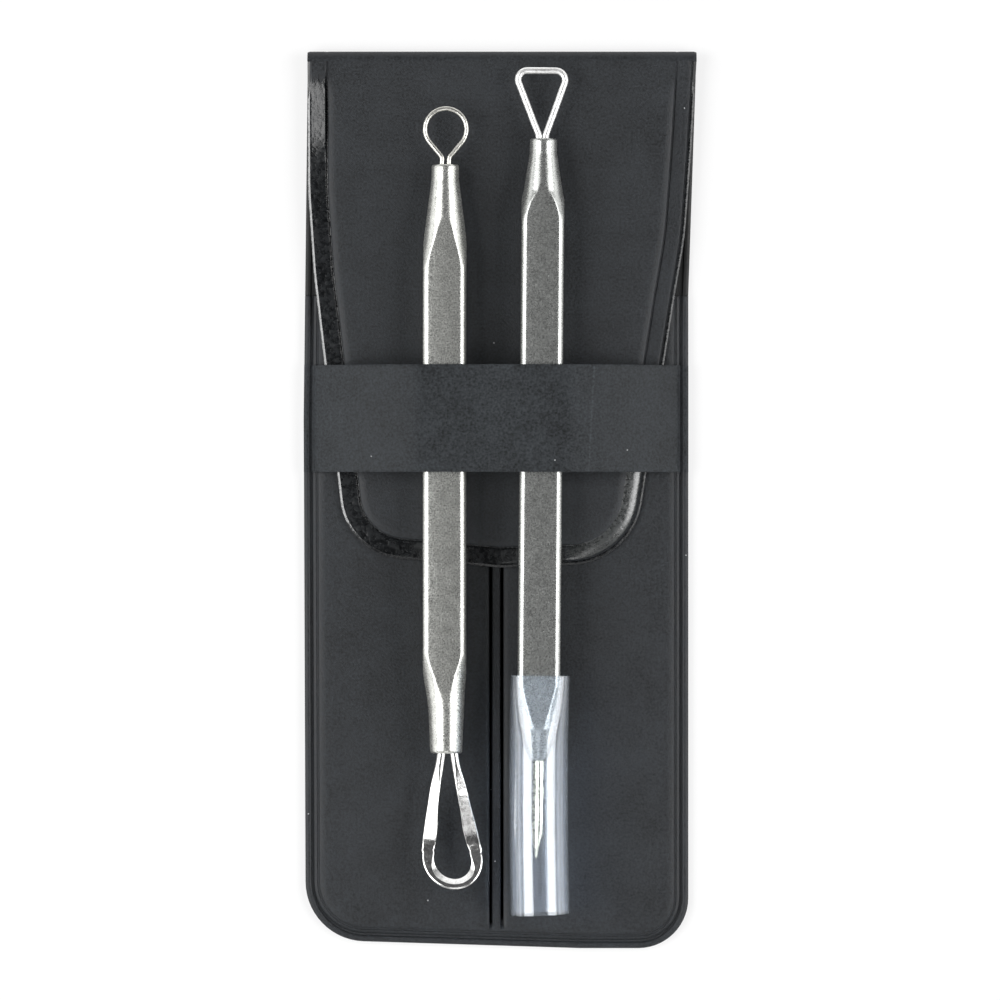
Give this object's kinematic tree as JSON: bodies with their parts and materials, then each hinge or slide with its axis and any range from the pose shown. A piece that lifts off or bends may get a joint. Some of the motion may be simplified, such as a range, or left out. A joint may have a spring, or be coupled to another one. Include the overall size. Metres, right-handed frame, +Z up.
{
  "type": "blackhead extractor set",
  "caption": "Double-ended steel blackhead extractors, one with a lancet under a clear sleeve, held by a band on a flat black vinyl flap pouch.",
  "frame": {"origin": "middle of the set's footprint, on the surface that the pouch's back lies on", "axes": "+X to the right across the pouch, +Y along the tools towards the fold of the flap, +Z up from the pouch's back to the tools"},
  "size_m": [0.059, 0.1348, 0.0103],
  "materials": {
    "vinyl": "satin black vinyl with glossy embossed welds",
    "lining": "dull black vinyl",
    "foam": "thin foam",
    "satin_steel": "satin, finely pitted",
    "bright_steel": "polished",
    "clear_sleeve": "clear, faintly blue"
  },
  "bodies": {
    "pouch": {"back_sheet": "vinyl", "back_foam": "foam", "back_lining": "lining", "front_sheet": "vinyl", "band": "vinyl"},
    "flap": {"flap_sheet": "vinyl", "flap_foam": "foam", "flap_lining": "lining"},
    "loop_tool": {"loop_handle": "satin_steel", "round_loop": "bright_steel", "teardrop_loop": "bright_steel"},
    "lancet_tool": {"lancet_handle": "satin_steel", "triangle_loop": "bright_steel", "lancet": "bright_steel"},
    "sleeve": {"sleeve": "clear_sleeve"}
  },
  "joints": [
    {"name": "flap_open", "type": "hinge", "parent": "pouch", "child": "flap", "pos_m": [0, 0.06578, 0.00158], "axis": [-1, 0, 0], "range_deg": [0, 178], "deforming": ["flap_sheet", "flap_foam", "flap_lining"]},
    {"name": "loop_tool_slide", "type": "slide", "parent": "pouch", "child": "loop_tool", "axis": [0, 1, 0], "range_m": [-0.058, 0.08]},
    {"name": "lancet_tool_slide", "type": "slide", "parent": "pouch", "child": "lancet_tool", "axis": [0.0087, 1, 0], "range_m": [-0.064, 0.016]},
    {"name": "sleeve_slide", "type": "slide", "parent": "lancet_tool", "child": "sleeve", "axis": [-0.0087, -1, 0], "range_m": [0, 0.03]}
  ]
}
